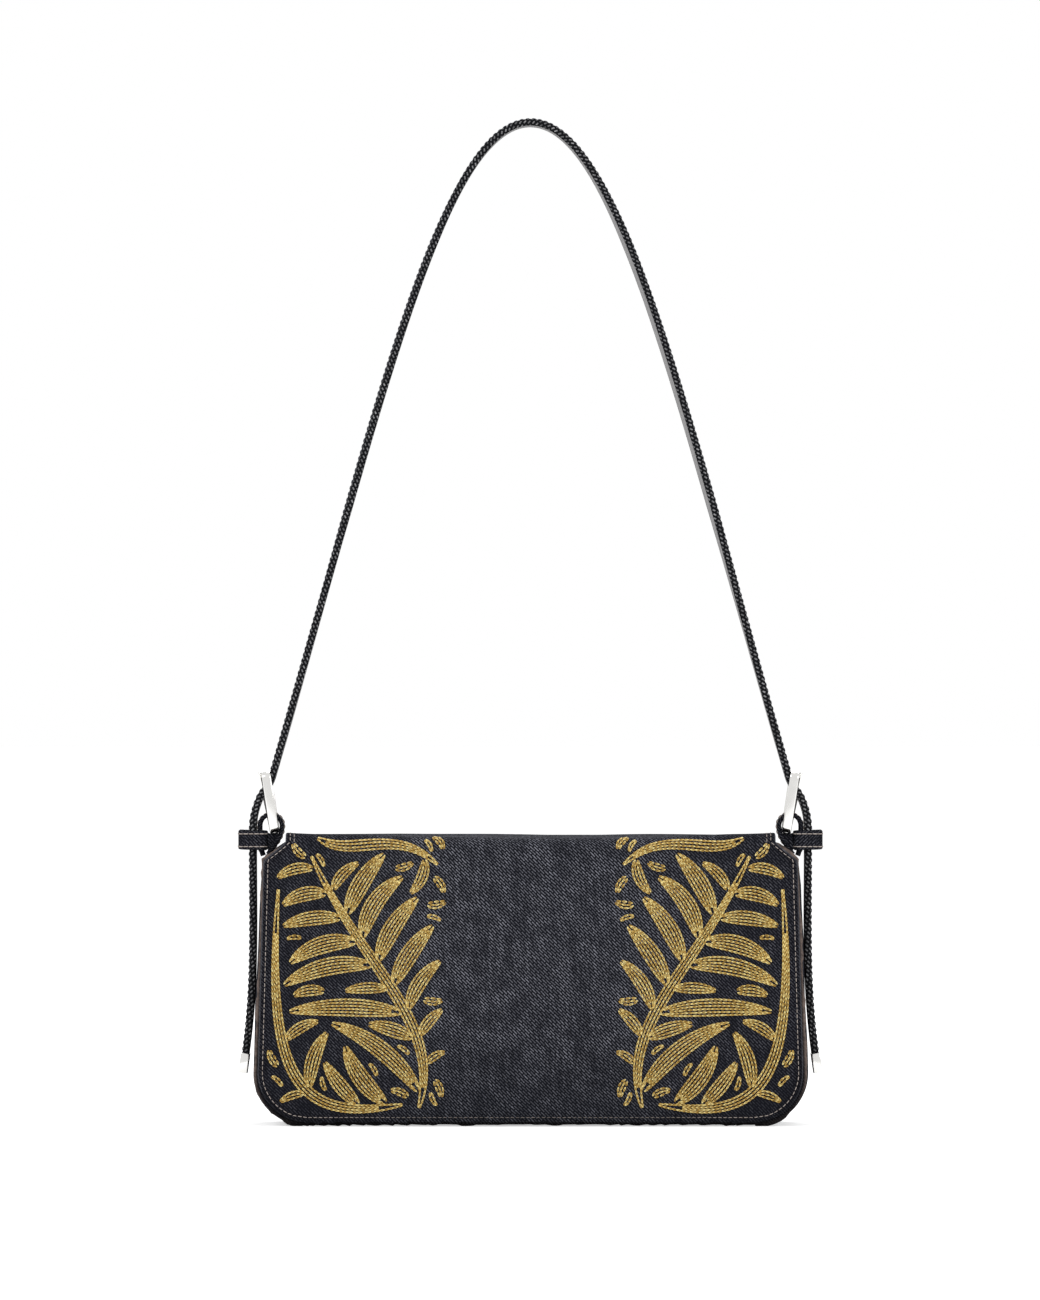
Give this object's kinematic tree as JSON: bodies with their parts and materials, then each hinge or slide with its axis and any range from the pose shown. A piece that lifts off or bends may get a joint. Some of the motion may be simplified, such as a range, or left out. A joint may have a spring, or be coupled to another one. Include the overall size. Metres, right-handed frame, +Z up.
{
  "type": "baguette bag",
  "caption": "Small denim shoulder bag with a full front flap, chain-stitch embroidery, a magnetic snap and a narrow strap held by belt buckles on tabs at both sides.",
  "frame": {"origin": "middle of the base, on the surface the bag stands on, at the centre of the closed bag's box", "axes": "+Z up along the standing strap, +X across the bag to the right as seen from the front, the flap hangs on the -Y side"},
  "size_m": [0.2838, 0.0609, 0.488],
  "materials": {
    "denim": "raw indigo twill",
    "lining_cloth": "matte cotton lining",
    "strap_lining_cloth": "grey cotton lining",
    "polished_metal": "polished nickel plate",
    "embroidery_thread": "gold rayon chain stitch",
    "topstitch_thread": "pale cotton sewing thread",
    "washer_steel": "plain steel",
    "board": "stiff bag board"
  },
  "bodies": {
    "bag": {"front_panel": "denim", "back_panel": "denim", "base_panel": "denim", "gusset_left": "denim", "gusset_right": "denim", "base_board": "board", "lining_front": "lining_cloth", "lining_back": "lining_cloth", "lining_base": "lining_cloth", "lining_left": "lining_cloth", "lining_right": "lining_cloth", "facing_front": "denim", "facing_back": "denim", "slip_pocket": "lining_cloth", "snap_socket": "polished_metal", "snap_socket_washer": "washer_steel", "tab_left": "denim", "tab_right": "denim", "keeper_left": "denim", "keeper_right": "denim"},
    "flap_top": {"flap_top": "denim", "flap_top_lining": "lining_cloth"},
    "flap_front": {"flap_front": "denim", "flap_front_lining": "lining_cloth", "snap_stud": "polished_metal", "snap_stud_washer": "washer_steel"},
    "strap": {"strap": "denim", "strap_lining": "strap_lining_cloth", "buckle_left": "polished_metal", "buckle_right": "polished_metal", "prong_left": "polished_metal", "prong_right": "polished_metal", "strap_end_left": "denim", "strap_end_right": "denim", "strap_end_lining_left": "strap_lining_cloth", "strap_end_lining_right": "strap_lining_cloth"},
    "tail_left": {"tail_left": "denim", "tail_lining_left": "strap_lining_cloth", "tip_left": "polished_metal"},
    "tail_right": {"tail_right": "denim", "tail_lining_right": "strap_lining_cloth", "tip_right": "polished_metal"}
  },
  "joints": [
    {"name": "flap_lift", "type": "hinge", "parent": "bag", "child": "flap_top", "pos_m": [0, 0.0255, 0.1374], "axis": [-1, 0, 0], "range_deg": [0, 100]},
    {"name": "flap_fold", "type": "hinge", "parent": "flap_top", "child": "flap_front", "pos_m": [0, -0.0229, 0.14], "axis": [-1, 0, 0], "range_deg": [0, 110]},
    {"name": "strap_lean", "type": "hinge", "parent": "bag", "child": "strap", "pos_m": [0, 0.0028, 0.14264], "axis": [-1, 0, 0], "range_deg": [0, 60], "deforming": ["tab_left", "tab_right", "strap_end_left", "strap_end_right", "strap_end_lining_left", "strap_end_lining_right"]},
    {"name": "tail_swing_left", "type": "hinge", "parent": "bag", "child": "tail_left", "pos_m": [-0.1349, 0.0028, 0.1323], "axis": [0, 1, 0], "range_deg": [0, 60]},
    {"name": "tail_swing_right", "type": "hinge", "parent": "bag", "child": "tail_right", "pos_m": [0.1349, 0.0028, 0.1323], "axis": [0, -1, 0], "range_deg": [0, 60]}
  ],
  "couplings": [
    {"joint": "strap_lean", "follows": "flap_lift", "ratio": 0.6}
  ]
}
